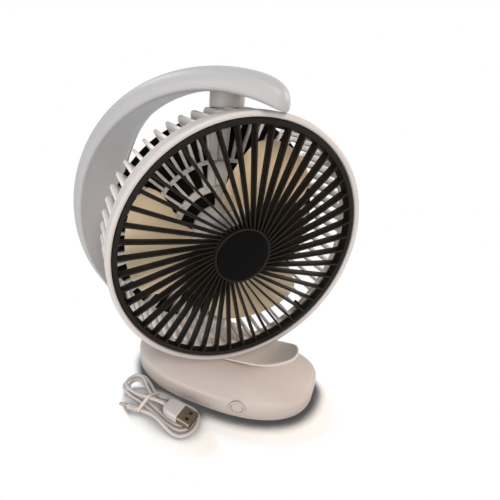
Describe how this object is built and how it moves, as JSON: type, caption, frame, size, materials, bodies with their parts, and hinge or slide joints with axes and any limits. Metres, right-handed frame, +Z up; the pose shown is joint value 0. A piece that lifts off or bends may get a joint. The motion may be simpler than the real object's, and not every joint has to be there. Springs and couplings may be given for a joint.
{
  "type": "portable table fan",
  "caption": "Cordless table fan: a round caged head swivels in a crescent arm that tilts on a flat oval base, with its charging lead.",
  "frame": {"origin": "underside of the foot pad, straight below the axis that the head swivels on", "axes": "+Z up, -Y the side of the base with the power button, +X to the right seen from there"},
  "size_m": [0.1797, 0.1288, 0.2114],
  "materials": {
    "white_shell": "satin moulded",
    "base_shell": "satin moulded, warm white",
    "black_grille": "satin black",
    "black_moulding": "matte",
    "gloss_disc": "polished black",
    "beige_blade": "satin beige",
    "bright_steel": "turned",
    "bush_brass": "sintered",
    "magnet_grey": "ground ferrite",
    "foot_rubber": "matte",
    "cell_sleeve": "shrink sleeve over a steel can",
    "board_green": "solder mask",
    "lead_jacket": "satin flexible jacket",
    "lead_moulding": "satin overmould",
    "tie_cream": "plastic strip over wire",
    "plug_nickel": "worn nickel plate"
  },
  "bodies": {
    "base": {"base_upper_shell": "base_shell", "base_lower_shell": "base_shell", "foot_pad": "foot_rubber", "battery_cell": "cell_sleeve", "button_bezel": "white_shell", "tact_switch": "black_moulding", "circuit_board": "board_green", "charge_jack": "black_moulding", "hinge_pin": "bright_steel", "hinge_washer_left": "bright_steel", "hinge_washer_right": "bright_steel", "base_screw_1": "bright_steel", "base_screw_2": "bright_steel", "base_screw_3": "bright_steel", "base_screw_4": "bright_steel", "charging_lead": "lead_jacket", "twist_tie": "tie_cream", "usb_plug_body": "lead_moulding", "usb_plug_shell": "plug_nickel", "usb_plug_tongue": "black_moulding", "connector_body": "lead_moulding", "connector_barrel": "bright_steel"},
    "button": {"power_button": "base_shell"},
    "arm": {"arm_shell": "white_shell", "arm_back_cover": "white_shell", "upper_pivot_pin": "bright_steel", "lower_pivot_pin": "bright_steel", "upper_swivel_washer": "bright_steel", "lower_swivel_washer": "bright_steel"},
    "head": {"front_ring": "white_shell", "front_grille": "black_grille", "grille_badge": "gloss_disc", "rear_cage": "white_shell", "motor_can": "bright_steel", "motor_end_cap": "black_moulding", "front_bush": "bush_brass", "rear_bush": "bush_brass", "magnet_left": "magnet_grey", "magnet_right": "magnet_grey", "motor_screw_1": "bright_steel", "motor_screw_2": "bright_steel", "motor_screw_3": "bright_steel"},
    "rotor": {"motor_armature": "bright_steel", "motor_shaft": "bright_steel", "impeller": "beige_blade", "impeller_cap": "white_shell"}
  },
  "joints": [
    {"name": "arm_tilt", "type": "hinge", "parent": "base", "child": "arm", "pos_m": [0, 0.02, 0.0215], "axis": [-1, 0, 0], "range_deg": [0, 60]},
    {"name": "head_swivel", "type": "hinge", "parent": "arm", "child": "head", "pos_m": [0, 0, 0.115], "axis": [0, 0, 1], "range_deg": [-38.8, 141.2]},
    {"name": "impeller_spin", "type": "hinge", "parent": "head", "child": "rotor", "pos_m": [0, 0, 0.115], "axis": [0.6266, -0.7793, 0], "continuous": true},
    {"name": "button_press", "type": "slide", "parent": "base", "child": "button", "axis": [-0.132, 0.9912, 0], "range_m": [0, 0.0008], "stiffness_N_per_m": 2000}
  ]
}
